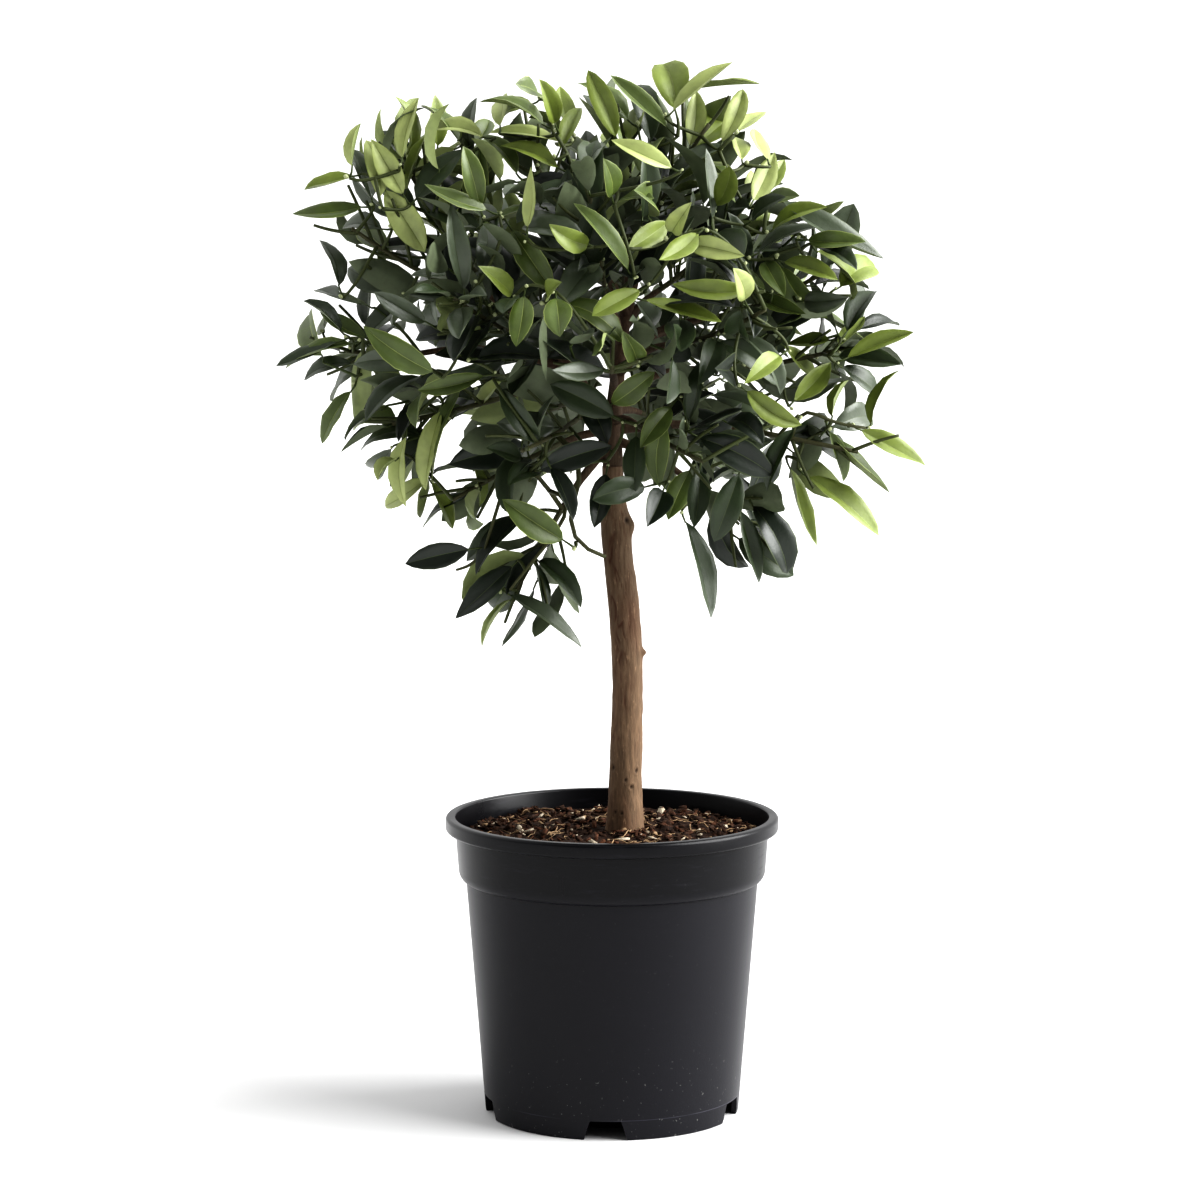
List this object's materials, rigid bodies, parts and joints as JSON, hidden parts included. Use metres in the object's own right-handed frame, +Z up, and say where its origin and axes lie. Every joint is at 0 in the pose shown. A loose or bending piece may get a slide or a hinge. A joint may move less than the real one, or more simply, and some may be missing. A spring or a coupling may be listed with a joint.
{
  "type": "potted kumquat tree",
  "caption": "Small citrus tree grown as a standard: one clean leaning stem, a round open head of narrow evergreen leaves, in a black nursery pot filled with mix.",
  "frame": {"origin": "middle of the pot's flat underside, the height of the surface that it stands on", "axes": "+Z up, -Y is the front side that the picture shows, +X is the picture's right"},
  "size_m": [0.4052, 0.3724, 0.6682],
  "materials": {
    "pot_plastic": "satin",
    "potting_mix": "rough",
    "bark": "rough",
    "leaves": "satin"
  },
  "bodies": {
    "root": {"pot": "pot_plastic", "potting_mix": "potting_mix", "trunk": "bark", "bough_leader": "bark", "bough_left_fork": "bark", "bough_top": "bark", "bough_top_left": "bark", "bough_upper_right": "bark", "bough_left_high": "bark", "bough_left": "bark", "bough_left_low": "bark", "bough_low_left": "bark", "bough_right_high": "bark", "bough_right": "bark", "bough_right_low": "bark", "bough_low_right": "bark", "bough_hanging_left": "bark", "bough_front_high": "bark", "bough_front_left": "bark", "bough_front_middle": "bark", "bough_front_right": "bark", "bough_front_low_left": "bark", "bough_front_low_right": "bark", "bough_back_high": "bark", "bough_back_left": "bark", "bough_back_middle": "bark", "bough_back_right": "bark", "bough_back_low_left": "bark", "bough_back_low_right": "bark", "mass_top": "leaves", "mass_top_left": "leaves", "mass_top_right": "leaves", "mass_upper_left": "leaves", "mass_upper_right": "leaves", "mass_left_high": "leaves", "mass_left": "leaves", "mass_left_low": "leaves", "mass_low_left": "leaves", "mass_right_high": "leaves", "mass_right": "leaves", "mass_right_low": "leaves", "mass_low_right": "leaves", "mass_hanging_left": "leaves", "mass_front_high": "leaves", "mass_front_left": "leaves", "mass_front_middle": "leaves", "mass_front_right": "leaves", "mass_front_low_left": "leaves", "mass_front_low_right": "leaves", "mass_back_high": "leaves", "mass_back_left": "leaves", "mass_back_middle": "leaves", "mass_back_right": "leaves", "mass_back_low_left": "leaves", "mass_back_low_right": "leaves"}
  },
  "joints": []
}
